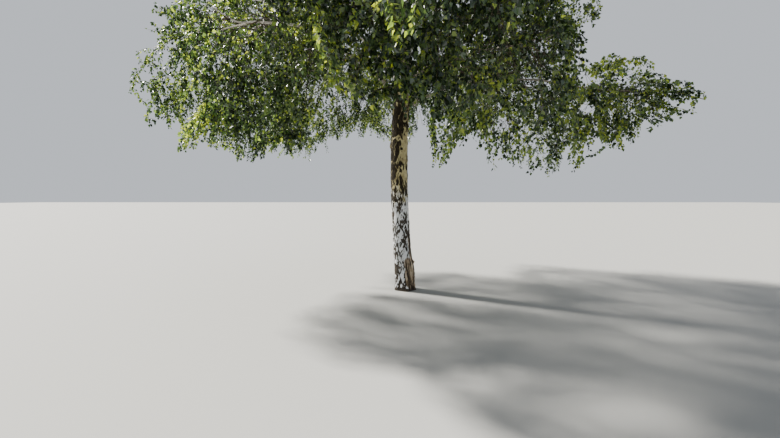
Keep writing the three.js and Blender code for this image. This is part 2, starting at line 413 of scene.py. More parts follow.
relief = slim * (
    -split_depth * dark * (1 - age)
    + cork_thickness * dark * age
    + crumble_depth * rough * np.maximum(dark, scar)
    + grain_depth * rough
    + strip_depth * strips * scar
    + wave_depth * wide
    + knob_size * knob
    + knot_size * knot
)
radius = trunk_radius(height, bearing) + relief * smoothstep(0.0, foot_lip, height)
spokes = np.stack([np.cos(bearing), np.sin(bearing), np.zeros_like(bearing)], axis=-1)
points = trunk_middle(height) + spokes * radius[..., None]
rings = len(trunk_heights)
index, beside, quads = number_rings(rings, trunk_sides)
foot, tip = rings * trunk_sides, rings * trunk_sides + 1
caps = np.concatenate([
    np.stack([np.full(trunk_sides, foot), beside[0], index[0]], axis=-1),
    np.stack([np.full(trunk_sides, tip), index[-1], beside[-1]], axis=-1),
])
ends = trunk_middle(trunk_heights[[0, -1]])
trunk_mesh = make_mesh("trunk_bark", np.concatenate([points.reshape(-1, 3), ends]), quads, caps)
for attribute_name, values in (("mark", mark), ("age", age), ("scar", scar), ("strips", strips)):
    attribute = trunk_mesh.attributes.new(attribute_name, "FLOAT", "POINT")
    attribute.data.foreach_set("value", np.append(values.ravel(), [0, 0]).astype(np.float32))

mark_fraying = 0.7
mark_sharpness = 9.0
strips_in_wood = 0.45
paper_roughness = 0.56
cork_roughness_gain = 0.32
fibre_relief_of_paper = 0.25
mottle_relief = 0.6
trunk_bark, tree, shader = new_material("birch trunk bark")
mottle, fibre, pores = use_bark_texture(tree, 11.0, 70.0, 20.0)
mark_value, age_value, scar_value, strip_value = (
    add(tree, "ShaderNodeAttribute", attribute_name=name).outputs["Fac"]
    for name in ("mark", "age", "scar", "strips")
)
frayed = calculate(tree, "MULTIPLY", calculate(tree, "SUBTRACT", fibre, 0.5), mark_fraying)
frayed_mark = calculate(tree, "ADD", mark_value, frayed)
dark_mask = calculate(tree, "MULTIPLY", frayed_mark, mark_sharpness, clamp=True)
white_paper = ramp(tree, mottle, [
    (0.30, (0.38, 0.37, 0.34)), (0.44, (0.68, 0.69, 0.69)),
    (0.60, (0.84, 0.86, 0.88)), (0.76, (0.60, 0.57, 0.51)),
])
cream_paper = ramp(tree, mottle, [
    (0.30, (0.19, 0.150, 0.066)), (0.46, (0.43, 0.365, 0.180)),
    (0.62, (0.62, 0.555, 0.300)), (0.78, (0.45, 0.40, 0.24)),
])
paper = mix(tree, age_value, white_paper, cream_paper)
pored = mix(tree, pores, paper, (0.12, 0.10, 0.085, 1))
grey_cork = ramp(tree, fibre, [
    (0.34, (0.017, 0.014, 0.012)), (0.52, (0.050, 0.041, 0.032)), (0.70, (0.120, 0.100, 0.078)),
])
brown_cork = ramp(tree, fibre, [
    (0.34, (0.007, 0.005, 0.003)), (0.50, (0.018, 0.013, 0.007)),
    (0.64, (0.052, 0.040, 0.021)), (0.80, (0.14, 0.115, 0.065)),
])
cork = mix(tree, age_value, grey_cork, brown_cork)
barked = mix(tree, dark_mask, pored, cork)
strip_share = calculate(tree, "MULTIPLY", strip_value, strips_in_wood)
wood_pattern = calculate(tree, "ADD", strip_share, fibre)
wood = ramp(tree, wood_pattern, [
    (0.28, (0.028, 0.020, 0.013)), (0.44, (0.150, 0.108, 0.068)),
    (0.58, (0.37, 0.285, 0.185)), (0.80, (0.66, 0.56, 0.45)),
])
rougher = calculate(tree, "MULTIPLY", dark_mask, cork_roughness_gain)
roughness = calculate(tree, "ADD", rougher, paper_roughness)
ridges = calculate(tree, "MULTIPLY", calculate(tree, "ADD", dark_mask, fibre_relief_of_paper), fibre)
peeling = calculate(tree, "SUBTRACT", calculate(tree, "MULTIPLY", mottle, mottle_relief), pores)
bark_height = calculate(tree, "ADD", ridges, peeling)
bump = add(tree, "ShaderNodeBump", Strength=0.7, Distance=0.005, Height=bark_height)
adjust(
    tree, shader, Base_Color=mix(tree, scar_value, barked, wood), Specular_IOR_Level=0.25,
    Roughness=roughness, Normal=bump.outputs["Normal"],
)
place("trunk_bark", trunk_mesh, [trunk_bark], "trunk_bark", "trunk")


# The boughs: long limbs that leave the trunk steeply from a swollen collar and arch over. Their
# bark is smooth, grey-brown and dashed with pale pores. Each runs on inside its mass of foliage
# as a thinner limb, which carries the branches there.
bough_sides = 12
bough_rings = 64
inner_steps = 16
slices = 14
sliced_part = (0.05, 0.95)
foot_slack = 0.03
buried_length = 0.05
buried_swelling = 1.15
collar_swelling = 0.55
collar_length = 0.09
bough_sway = 0.018
sways_per_metre = 3
bough_unevenness = 0.12
lumps_per_metre = 12
bare_of_branches = 0.45
limb_thinnest = 0.006
limb_outwards = 0.8
limb_leaving = 0.35
limb_arriving = 0.3
limb_droop = 0.5
leader_depth = 0.8
leader_steps = 24
least_entry_radius = 0.009
arm_taper = 0.65
bare_limb_mass = "skirt_front_left"

# The bare limb and its fork, seen in the view's upper left: column, row and distance.
bare_limb = [(272, 24, 4.05), (255, 22.5, 3.98), (244, 24.5, 3.90), (227, 18.5, 3.80), (214, 8, 3.72)]
bare_limb_radius = 0.0125
bare_limb_branched_tip = 0.35
bare_fork = [(246, 24, 3.92), (236, 26, 3.88), (224, 29, 3.84), (208, 36, 3.80)]
bare_fork_radii = np.linspace(0.010, 0.004, len(bare_fork))
up = np.array([0.0, 0.0, 1.0])


def corners_and_faces(node):
    """A solid's corners and its triangles."""
    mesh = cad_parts[node].data
    mesh.calc_loop_triangles()
    corners = np.empty(len(mesh.vertices) * 3, dtype=np.float32)
    mesh.vertices.foreach_get("co", corners)
    faces = np.empty(len(mesh.loop_triangles) * 3, dtype=np.int32)
    mesh.loop_triangles.foreach_get("vertices", faces)
    return corners.reshape(-1, 3).astype(float), faces.reshape(-1, 3)


def unit(vectors):
    """The same vectors, each of length one."""
    return vectors / np.maximum(np.linalg.norm(vectors, axis=-1, keepdims=True), 1e-9)


def in_view(spots):
    """The places at these columns and rows of the view, this far in front of the camera."""
    column, row, depth = np.reshape(spots, (-1, 3)).T
    across = (column - view_middle[0]) / columns_per_slope
    above = (horizon_row - row) / columns_per_slope
    return camera_place + np.stack([across * depth, depth, above * depth], axis=-1)


def bough_line(node):
    """The middle line and radii of a bough's solid, from slices square to the line between its ends."""
    points, faces = corners_and_faces(node)
    edges = np.concatenate([faces[:, [0, 1]], faces[:, [1, 2]], faces[:, [2, 0]]])
    from_trunk = np.hypot(*(points - trunk_middle(points[:, 2]))[:, :2].T)
    near = points[from_trunk < from_trunk.min() + foot_slack].mean(0)
    far = points[np.argmax(np.linalg.norm(points - near, axis=1))]
    share = (points - near) @ unit(far - near)
    line, radii = [], []
    for at in np.linspace(*sliced_part, slices) * np.linalg.norm(far - near):
        crossed = edges[(share[edges[:, 0]] - at) * (share[edges[:, 1]] - at) < 0]
        first, second = points[crossed[:, 0]], points[crossed[:, 1]]
        part = (at - share[crossed[:, 0]]) / (share[crossed[:, 1]] - share[crossed[:, 0]])
        cut = first + part[:, None] * (second - first)
        line.append((cut.min(0) + cut.max(0)) / 2)
        radii.append(np.linalg.norm(cut - line[-1], axis=1).min())
    return np.array(line), np.array(radii)


def step_lengths(paths):
    """The length of every step along a path, or along many."""
    return np.linalg.norm(np.diff(paths, axis=-2), axis=-1)


def evenly(line, values, count):
    """A line of points, and values along it, spread anew in even steps."""
    length = np.concatenate([[0], np.cumsum(step_lengths(line))])
    at = np.linspace(0, length[-1], count)
    spread = [np.interp(at, length, column) for column in line.T]
    return np.stack(spread, axis=1), np.interp(at, length, values), at


def curve(start, leaving, arriving, end, steps):
    """Smooth curves that leave start towards one point and arrive at end from another."""
    t = np.linspace(0, 1, steps)[:, None]
    start, leaving, arriving, end = (points[..., None, :] for points in (start, leaving, arriving, end))
    return (
        (1 - t) ** 3 * start + 3 * (1 - t) ** 2 * t * leaving
        + 3 * (1 - t) * t ** 2 * arriving + t ** 3 * end
    )


def tubes(paths, radii, sides):
    """Tapering tubes along many paths at once, each closed at its foot and drawn to a point."""
    many, steps = paths.shape[:2]
    travel = unit(np.gradient(paths, axis=1))
    level = np.where(np.abs(travel[:, 0, 2:]) > 0.9, [[1.0, 0, 0]], [[0, 0, 1.0]])
    across = [unit(np.cross(travel[:, 0], level))]
    for k in range(1, steps):
        sideways_part = np.sum(across[-1] * travel[:, k], axis=1)[:, None] * travel[:, k]
        across.append(unit(across[-1] - sideways_part))
    across = np.stack(across, axis=1)
    other = np.cross(travel, across)
    turn = (np.arange(sides) * 2 * math.pi / sides)[None, None, :, None]
    spokes = across[:, :, None] * np.cos(turn) + other[:, :, None] * np.sin(turn)
    rounds = paths[:, :, None] + spokes * radii[:, :, None, None]
    points = np.concatenate([
        rounds.reshape(many, steps * sides, 3),
        paths[:, -1:] + travel[:, -1:] * radii[:, -1:, None],
    ], axis=1)
    index, beside, quads = number_rings(steps, sides)
    tip = np.stack([np.full(sides, steps * sides), index[-1], beside[-1]], axis=-1)
    foot = np.stack([np.zeros(sides - 2, int), np.arange(2, sides), np.arange(1, sides - 1)], axis=-1)
    triangles = np.concatenate([tip, foot])
    shift = (np.arange(many) * (steps * sides + 1))[:, None, None]
    return points.reshape(-1, 3), (quads + shift).reshape(-1, 4), (triangles + shift).reshape(-1, 3)


class Mass:
    """One mass of foliage: its solid's middle, and how far it reaches from there in every direction.

    The reach is felt from outside, along this many rows and columns of directions.
    """

    rows = 33
    columns = 64
    outside = 9.0
    tried_for_each_spot = 10
    spots_from, spots_to = 0.10, 0.98
    more_spots_below = 0.5
    clumps_per_metre = 2.6
    clumping = 1.6

    def __init__(self, name):
        points, faces = corners_and_faces("foliage_" + name)
        self.middle = (points.min(0) + points.max(0)) / 2
        first, second, third = (points[faces[:, k]] - self.middle for k in range(3))
        self.volume = abs(np.sum(first * np.cross(second, third))) / 6
        solid = BVHTree.FromPolygons([Vector(point) for point in points], faces.tolist())
        self.table = np.zeros((self.rows, self.columns))
        for i, tilt in enumerate(np.linspace(0, math.pi, self.rows)):
            for j, turn in enumerate(np.linspace(-math.pi, math.pi, self.columns, endpoint=False)):
                level = math.sin(tilt)
                way = Vector((level * math.cos(turn), level * math.sin(turn), math.cos(tilt)))
                hit = solid.ray_cast(Vector(self.middle) + self.outside * way, -way)
                self.table[i, j] = self.outside - hit[3]
                if name == "right_arm":
                    outwards = Vector(self.middle * [1, 1, 0]).normalized().dot(way)
                    self.table[i, j] *= 1 - arm_taper * max(outwards, 0) * max(-way.z, 0) ** 0.5

    def reach(self, ways):
        """How far the mass reaches in these directions."""
        row = np.arccos(np.clip(ways[..., 2], -1, 1)) / math.pi * (self.rows - 1)
        column = (np.arctan2(ways[..., 1], ways[..., 0]) + math.pi) / (2 * math.pi) * self.columns
        i = np.clip(row.astype(int), 0, self.rows - 2)
        j = column.astype(int) % self.columns
        k = (j + 1) % self.columns
        u, v = row - i, column - np.floor(column)
        upper = self.table[i, j] * (1 - v) + self.table[i, k] * v
        lower = self.table[i + 1, j] * (1 - v) + self.table[i + 1, k] * v
        return upper * (1 - u) + lower * u

    def spots(self, count, fringe, random):
        """Places spread through all of the mass but its middle, the low ones hanging in a fringe."""
        ways = unit(random.normal(size=(count * self.tried_for_each_spot, 3)))
        reach = self.reach(ways)
        share = random.uniform(self.spots_from, self.spots_to, len(ways)) ** (1 / 3)
        places = self.middle + ways * (reach * share)[:, None]
        lowness = smoothstep(0.2, -0.7, ways[:, 2])
        clumps = np.exp(self.clumping * noise(places * self.clumps_per_metre, 7, 2))
        odds = reach ** 3 * (1 + (self.more_spots_below + fringe) * lowness) * clumps
        places = places - up * (fringe * lowness * random.random(len(places)))[:, None]
        return places[random.choice(len(places), size=count, replace=False, p=odds / odds.sum())]

    def depth(self, points):
        """0 at the mass's middle and 1 at its surface."""
        away = points - self.middle
        far = np.linalg.norm(away, axis=-1)
        return far / self.reach(away / np.maximum(far, 1e-9)[..., None])


# The bough bark, and a paler copy of it for the bare limb: painted light, as if the sun were on it.
bough_skins = {
    "birch bough bark": [
        (0.13, 0.105, 0.085), (0.25, 0.215, 0.180), (0.34, 0.305, 0.265), (0.44, 0.41, 0.37),
    ],
    "sunlit-painted birch bough bark": [
        (0.48, 0.43, 0.38), (0.74, 0.69, 0.64), (0.84, 0.80, 0.76), (0.90, 0.87, 0.83),
    ],
}
bough_barks = []
for bark_name, colours in bough_skins.items():
    bough_bark, tree, shader = new_material(bark_name)
    mottle, fibre, pores = use_bark_texture(tree, 16.0, 90.0, 60.0)
    skin = ramp(tree, mottle, list(zip((0.30, 0.48, 0.62, 0.80), colours)))
    pored = mix(tree, pores, skin, (0.42, 0.38, 0.32, 1))
    roughness = ramp(tree, mottle, [(0.3, (0.55,) * 3), (0.7, (0.8,) * 3)])
    bark_height = calculate(tree, "ADD", mottle, pores)
    bump = add(tree, "ShaderNodeBump", Strength=0.5, Distance=0.003, Height=bark_height)
    adjust(tree, shader, Base_Color=pored, Roughness=roughness, Normal=bump.outputs["Normal"])
    bough_barks.append(bough_bark)

mass_names = sorted(name[len("foliage_"):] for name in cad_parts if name.startswith("foliage_"))
masses = {name: Mass(name) for name in mass_names}
limbs = {}
for number, name in enumerate(mass_names):
    mass = masses[name]
    if name == "top":
        heights = np.linspace(mass.middle[2] - leader_depth, trunk_height, leader_steps)
        limbs[name] = (trunk_middle(heights), trunk_radius(heights, 0 * heights))
        continue
    line, radii = bough_line("bough_" + name)
    end, heading = line[-1], unit(line[-1] - line[-3])
    outwards = unit((mass.middle - trunk_middle(mass.middle[2])) * [1, 1, 0])
    climb, share = (0.05, 0.95) if name == "right_arm" else (0.55, 0.75)
    goal_way = unit(outwards * limb_outwards + climb * up)
    goal = mass.middle + goal_way * mass.reach(goal_way) * share
    run = np.linalg.norm(goal - end)
    arriving = goal - (goal_way - limb_droop * up) * run * limb_arriving
    inner = curve(end, end + heading * run * limb_leaving, arriving, goal, inner_steps)[1:]
    entry_radius = max(radii[-1], least_entry_radius)
    inner_radii = np.interp(np.linspace(0, 1, inner_steps)[1:], [0, 1], [entry_radius, limb_thinnest])
    if name == bare_limb_mass:
        inner = in_view(bare_limb)
        inner_radii = np.linspace(bare_limb_radius, limb_thinnest, len(inner))
    foot = line[0] - unit(line[1] - line[0]) * buried_length
    whole = np.concatenate([[foot], line, inner])
    foot_radius = radii[0] * buried_swelling
    whole_radii = np.concatenate([[foot_radius], np.maximum(radii, inner_radii[0]), inner_radii])
    path, thickness, at = evenly(whole, whole_radii, bough_rings)
    for _ in range(2):
        path[1:-1] = (path[:-2] + 2 * path[1:-1] + path[2:]) / 4
    bumps = np.stack([noise(path * sways_per_metre, 40 + number + 30 * k, 2) for k in range(3)], axis=1)
    path = path + bough_sway * bumps * smoothstep(0, 0.5, at)[:, None]
    collar = 1 + collar_swelling * np.exp(-at / collar_length)
    thickness = thickness * collar * (1 + bough_unevenness * noise(path * lumps_per_metre, 140 + number, 2))
    paths, radii = path[None], thickness[None]
    if name == bare_limb_mass:
        fork = in_view(bare_fork)
        fork, fork_radii, _ = evenly(fork, bare_fork_radii, bough_rings)
        paths, radii = np.stack([path, fork]), np.stack([thickness, fork_radii])
        sunlit = np.concatenate([path[-24::2], fork[::6]])
    mesh = make_mesh("bough_" + name, *tubes(paths, radii, bough_sides))
    # The bare limb takes the paler copy of the bark, which is painted light.
    place("limb_" + name, mesh, [bough_barks[name == bare_limb_mass]], "bough_bark", "bough_" + name)
    inner_length = step_lengths(inner).sum()
    inside = at > at[-1] - inner_length - bare_of_branches * (at[-1] - inner_length)
    if name == bare_limb_mass:
        inside &= (at < at[-1] - inner_length) | (at > at[-1] - bare_limb_branched_tip * inner_length)
    limbs[name] = (path[inside], thickness[inside])


# The twigs: inside each mass, branches spread from its limb to the outside. Their side shoots
# arch over and carry long thin twigs, red-brown and hair-thin at the end, that bend down under
# their own weight. They are all of one piece with the limb they grow from.
branches_for_size = 7.5
fewest_branches = 16
branch_steps = 8
branch_reach = (0.60, 0.97)
branch_tip_share = 0.25
branch_highest = 0.98
branch_descent = 1.86
branch_crowding = 0.85
branch_scatter = 0.12
branch_forwardness = 0.6
branch_nearness = 0.25
branch_of_limb = 0.65
branch_arch = 0.12
low_branch_arch = 0.40
shoots_per_branch = 9
shoot_steps = 5
shoots_from = 0.22
shoots_uneven = 0.06
shoot_lengths = (0.35, 0.95)
shoot_droops = (5, 60)
shoot_eases = (0.25, 0.7)
shoot_tip_share = 0.4
shoot_of_branch = 0.7
shoot_lift = 0.2
shoot_roll = 0.6
shoot_swing = 0.55
shoot_wave_length = 0.8
twig_steps = 4
twig_drop = 0.22
twig_hang = 0.42
rising_twig_hang = 0.15
plain_density = 105
fullness_power = 0.6
twigs_per_cubic_metre = {
    "skirt_front_right": 125, "skirt_front_left": 130, "skirt_front": 190, "skirt_right": 112, "skirt": 122,
    "arm": 125, "middle": 72, "high": 60, "top": 100,
}
twig_thickest = 0.0017
twig_thinnest = 0.0007
shortest_shoot = 0.12
shortest_twig = 0.08
upper_fringe = 0.5

# Sprays that hang clear of a mass: their first and last column and first and last row in the
# view, how far they are from the camera, and how many twigs they have.
sprays = {
    "skirt_back": [(346, 390, 88, 140, 7.0, 70)],
    "skirt_back_left": [(330, 366, 90, 138, 6.6, 50), (262, 330, 125, 160, 6.6, 40)],
    "skirt_front_right": [
        (428, 448, 128, 170, 4.3, 16), (484, 505, 135, 168, 4.3, 20),
        (455, 480, 120, 150, 4.3, 16),
    ],
    "skirt_right": [
        (528, 590, 120, 152, 5.2, 40), (562, 596, 8, 32, 5.3, 16), (496, 556, 40, 88, 5.5, 44),
        (534, 574, 50, 112, 5.3, 30),
    ],
    "right_arm": [
        (560, 612, 84, 116, 4.9, 36), (566, 640, 62, 70, 4.9, 22),
        (600, 628, 120, 147, 4.7, 26), (574, 606, 114, 144, 4.8, 34),
        (568, 584, 148, 174, 4.8, 9),
    ],
    "skirt_left": [
        (127, 158, 86, 96, 4.9, 6), (145, 166, 116, 126, 4.9, 7), (141, 158, 66, 74, 4.9, 3),
        (222, 284, 18, 44, 5.0, 34),
    ],
    "skirt_front_left": [(178, 218, 126, 152, 4.5, 26), (282, 322, 12, 32, 3.6, 22)],
    "skirt_front": [
        (374, 410, 72, 100, 3.6, 16), (396, 416, 12, 74, 3.0, 26), (392, 450, 0, 42, 2.35, 18),
        (406, 424, 92, 108, 3.7, 8), (446, 458, 120, 150, 3.0, 7),
    ],
}
spray_spread = 0.05

# The furthest tips of the crown, by column, row and distance. A branch runs to each.
far_tips = {
    "skirt_left": [(132, 86, 4.9), (148, 116, 4.9), (144, 66, 4.9)],
    "skirt_right": [(594, 18, 5.3)],
    "right_arm": [(622, 66, 4.9), (596, 88, 4.9)],
}

# Gaps in the crown, by middle column and row, half width and half height, and the distance up to
# which the foliage is left out. The last number is the share of it that is.
windows = [
    (363, 104, 5, 7, 20.0, 1.0), (420, 118, 4, 12, 20.0, 1.0), (505, 126, 10, 8, 20.0, 1.0),
    (590, 80, 13, 4, 20.0, 1.0), (588, 110, 9, 5, 20.0, 1.0), (262, 23, 16, 6, 4.1, 1.0),
    (240, 24, 15, 7, 4.0, 1.0), (221, 13, 10, 9, 3.9, 1.0), (228, 29, 11, 5, 3.9, 1.0),
    (326, 104, 24, 20, 20.0, 0.5), (254, 12, 12, 9, 20.0, 0.5), (512, 60, 62, 50, 3.7, 0.52),
    (476, 104, 46, 20, 20.0, 0.25), (524, 146, 62, 26, 20.0, 0.40), (468, 144, 12, 16, 20.0, 0.55),
]
window_blur = (0.1, 1.7)
light_way = unit(np.array([0.64, -0.34, -0.69]))
shaft_width = 0.10

twig_bark, tree, shader = new_material("birch twig bark")
mottle, fibre, pores = use_bark_texture(tree, 30.0, 120.0, 90.0)
red_brown = ramp(tree, mottle, [
    (0.35, (0.030, 0.018, 0.012)), (0.55, (0.075, 0.048, 0.030)), (0.75, (0.15, 0.11, 0.08)),
])
adjust(tree, shader, Base_Color=red_brown, Roughness=0.6)


def pick(paths, row, share):
    """The place and direction of travel on path number row, at this share of its length."""
    steps = paths.shape[1] - 1
    at = np.clip(share * steps, 0, steps - 1e-6)
    k = at.astype(int)
    first, second = paths[row, k], paths[row, k + 1]
    return first + (at - k)[:, None] * (second - first), unit(second - first)


def sideways(travel, roll):
    """A direction square to travel, rolled round it from level."""
    level = unit(np.cross(travel, up + 1e-3))
    return level * np.cos(roll)[:, None] + np.cross(level, travel) * np.sin(roll)[:, None]


def arching(start, heading, length, slope, ease, steps, random):
    """Stems that set out along heading and bend towards their final slope under their own weight."""
    out = unit(heading * [1, 1, 0])
    side = np.cross(up, out)
    s = np.linspace(0, 1, steps)[None] * length[:, None]
    first = np.arcsin(np.clip(heading[:, 2], -1, 1))[:, None]
    tilt = slope[:, None] + (first - slope[:, None]) * np.exp(-s / ease[:, None])
    phase = random.uniform(0, 2 * math.pi, len(start))[:, None]
    swing = shoot_swing * (np.sin(2 * math.pi * s / shoot_wave_length + phase) - np.sin(phase))
    level = out[:, None] * np.cos(swing)[..., None] + side[:, None] * np.sin(swing)[..., None]
    way = level * np.cos(tilt)[..., None] + up * np.sin(tilt)[..., None]
    hop = (way[:, 1:] + way[:, :-1]) / 2 * (length / (steps - 1))[:, None, None]
    return start[:, None] + np.concatenate([0 * hop[:, :1], np.cumsum(hop, axis=1)], axis=1)


def cut_off(mass, paths, limit):
    """The same paths, each cut off where it leaves the mass, and the share of each that is kept."""
    steps = paths.shape[1]
    outside = mass.depth(paths) > limit[:, None]
    share = np.where(outside.any(1), (outside.argmax(1) - 0.5) / (steps - 1), 1.0)
    share = np.maximum(share, 0)
    at = np.clip(share[:, None] * np.arange(steps)[None], 0, steps - 1 - 1e-6)
    k = at.astype(int)[..., None]
    part = at[..., None] - k
    return np.take_along_axis(paths, k, 1) * (1 - part) + np.take_along_axis(paths, k + 1, 1) * part, share


def grow_branches(mass, limb, tips, fullness, random):
    """Branches from the limb to places all round the outer part of the mass, and to these tips."""
    line, thickness = limb
    count = max(fewest_branches, round(branches_for_size * fullness * mass.volume ** (2 / 3)))
    k = np.arange(count) + 0.5
    z = branch_highest - branch_descent * (k / count) ** branch_crowding
    golden_turns = k * math.pi * (3 - math.sqrt(5))
    turn = golden_turns + random.uniform(0, 6)
    ways = np.stack([np.sqrt(1 - z ** 2) * np.cos(turn), np.sqrt(1 - z ** 2) * np.sin(turn), z], axis=1)
    ways = unit(ways + random.normal(0, branch_scatter, ways.shape))
    ends = mass.middle + ways * (mass.reach(ways) * random.uniform(*branch_reach, count))[:, None]
    ends = np.concatenate([ends, tips])
    lowness = smoothstep(0.1, -0.6, unit(ends - mass.middle)[:, 2:])
    travel = unit(np.gradient(line, axis=0))
    gap = ends[:, None] - line[None]
    forward = np.sum(unit(gap) * travel[None], axis=2)
    misfit = np.abs(forward - branch_forwardness) + branch_nearness * np.linalg.norm(gap, axis=2)
    chosen = np.argmin(misfit, axis=1)
    start = line[chosen]
    run = np.linalg.norm(ends - start, axis=1)[:, None]
    heading = unit(0.6 * travel[chosen] + 0.5 * unit(ends - start) + 0.35 * up)
    bend_in = start + heading * run * 0.4
    arch = branch_arch + low_branch_arch * lowness
    bend_out = ends + up * arch * run - unit(ends - start) * run * 0.25
    paths = curve(start, bend_in, bend_out, ends, branch_steps)
    foot = np.minimum(thickness[chosen] * branch_of_limb, 0.004 + 0.006 * run[:, 0])
    return paths, foot[:, None] * np.linspace(1, branch_tip_share, branch_steps)[None]


def grow_shoots(mass, branches, radii, far, random):
    """Side shoots, alternately to the two sides of each branch, arching over and drooping.

    They end where they leave the mass, but for the short ones on the last branches, far in number.
    """
    row = np.repeat(np.arange(len(branches)), shoots_per_branch)
    share = np.tile(np.linspace(shoots_from, 1.0, shoots_per_branch), len(branches))
    share = share - random.uniform(0, shoots_uneven, len(row))
    start, travel = pick(branches, row, share)
    roll = np.where(np.arange(len(row)) % 2, shoot_lift, math.pi - shoot_lift)
    roll = roll + random.normal(0, shoot_roll, len(row))
    heading = unit(0.55 * travel + 0.85 * sideways(travel, roll) + 0.15 * up)
    clear_of_mass = (row >= len(branches) - far) & (share > 0.6)
    length = random.uniform(*shoot_lengths, len(row)) * (1.1 - 0.5 * share)
    length = length * np.where(clear_of_mass, 0.4, 1.0)
    slope = -np.radians(random.uniform(*shoot_droops, len(row)))
    ease = random.uniform(*shoot_eases, len(row))
    paths = arching(start, heading, length, slope, ease, shoot_steps, random)
    limit = np.where(clear_of_mass, math.inf, random.uniform(0.94, 1.0, len(row)))
    paths, kept = cut_off(mass, paths, limit)
    length = length * kept
    long_enough = length > shortest_shoot
    thick = radii[row, np.clip((share * (branch_steps - 1)).astype(int), 0, branch_steps - 1)]
    foot = np.minimum(thick * shoot_of_branch, 0.0018 + 0.003 * length)
    radii = foot[:, None] * np.linspace(1, shoot_tip_share, shoot_steps)[None]
    return paths[long_enough], radii[long_enough], length[long_enough]


def grow_twigs(branches, shoots, spots, random):
    """Long thin twigs that set out from the shoots and branches and bend over to hang at these spots."""
    feet = np.concatenate([shoots[:, 1:].reshape(-1, 3), branches[:, -3:].reshape(-1, 3)])
    travel = unit(np.concatenate([
        np.diff(shoots, axis=1).reshape(-1, 3), np.diff(branches[:, -4:], axis=1).reshape(-1, 3),
    ]))
    gap = spots[:, None] + twig_drop * up - feet[None]
    chosen = np.argmin(np.linalg.norm(gap, axis=2) * random.uniform(0.75, 1.25, gap.shape[:2]), axis=1)
    start, travel = feet[chosen], travel[chosen]
    run = np.linalg.norm(spots - start, axis=1)[:, None]
    towards = 0.7 * unit(spots - start) * [1, 1, 0.3]
    heading = unit(0.6 * travel + towards + random.normal(0, 0.2, spots.shape))
    hang = np.where(spots[:, 2:] > start[:, 2:], rising_twig_hang, twig_hang) * run
    bend_in = start + heading * run * 0.45
    bend_out = spots + up * hang + random.normal(0, 0.07, spots.shape) * run
    paths = curve(start, bend_in, bend_out, spots, twig_steps)
    paths = paths[run[:, 0] > shortest_twig]
    return paths, step_lengths(paths).sum(1)


def spray_spots(name, random):
    """Places for the twigs of the sprays that hang clear of a mass."""
    places = [np.zeros((0, 3))]
    for left, right, top, bottom, distance, count in sprays.get(name, []):
        column, row = random.uniform(left, right, count), random.uniform(top, bottom, count)
        depth = distance * random.normal(1, spray_spread, count)
        places.append(in_view(np.stack([column, row, depth], axis=1)))
    return np.concatenate(places)


def shown_through(points, random):
    """Which points are in the way of a gap in the crown, or of the light on the bare limb."""
    away = points - camera_place
    depth = np.maximum(away[:, 1], 0.2)
    column = view_middle[0] + columns_per_slope * away[:, 0] / depth
    row = horizon_row - columns_per_slope * away[:, 2] / depth
    blocked = np.zeros(len(points), bool)
    for middle_column, middle_row, half_width, half_height, farthest, share in windows:
        near = ((column - middle_column) / half_width) ** 2 + ((row - middle_row) / half_height) ** 2
        left_out = random.random(len(points)) <= share
        in_window = near < random.uniform(*window_blur, len(points))
        blocked |= left_out & in_window & (away[:, 1] < farthest)
    for spot in sunlit:
        towards_light = (points - spot) @ -light_way
        aside = np.linalg.norm(points - spot + towards_light[:, None] * light_way, axis=1)
        blocked |= (towards_light > 0.03) & (aside < shaft_width)
    return blocked


def joined(*parts):
    """Several sets of points, four-sided faces and three-sided faces as one set."""
    shifts = np.cumsum([0] + [len(points) for points, _, _ in parts])
    quads = [quads + shift for (_, quads, _), shift in zip(parts, shifts)]
    triangles = [triangles + shift for (_, _, triangles), shift in zip(parts, shifts)]
    return np.concatenate([part[0] for part in parts]), np.concatenate(quads), np.concatenate(triangles)


def is_upper(name):
    """Whether a mass is in the upper crown, above the skirt and the long arm."""
    return not name.startswith(("skirt", "right"))


def for_mass(values, name):
    """The first of these values whose key is a part of the mass's name."""
    return next(value for part, value in values.items() if part in name)


stems = {}
for number, name in enumerate(mass_names):
    mass = masses[name]
    random = np.random.default_rng(500 + number)
    density = for_mass(twigs_per_cubic_metre, name)
    fullness = max(1, (density / plain_density) ** fullness_power)
    tips = in_view(far_tips.get(name, []))
    branches, branch_radii = grow_branches(mass, limbs[name], tips, fullness, random)
    shoots, shoot_radii, shoot_length = grow_shoots(mass, branches, branch_radii, len(tips), random)
    fringe = upper_fringe if is_upper(name) else 0.0
    spots = mass.spots(round(density * mass.volume), fringe, random)
    spots = np.concatenate([spots, spray_spots(name, random)])
    twigs, twig_length = grow_twigs(branches, shoots, spots, random)
    clear = ~shown_through(twigs[:, -1], random)
    twigs, twig_length = twigs[clear], twig_length[clear]
    twig_radii = np.linspace(twig_thickest, twig_thinnest, twig_steps)[None] * np.ones((len(twigs), 1))
    wood = joined(
        tubes(branches, branch_radii, 4), tubes(shoots, shoot_radii, 3), tubes(twigs, twig_radii, 3)
    )
    place("twigs_" + name, make_mesh("twigs_" + name, *wood), [twig_bark], "bough_bark")
    far_branches = branches[len(branches) - len(tips):]
    far_length = step_lengths(far_branches).sum(1)
    stems[name] = random, (twigs, shoots, far_branches), (twig_length, shoot_length, far_length)


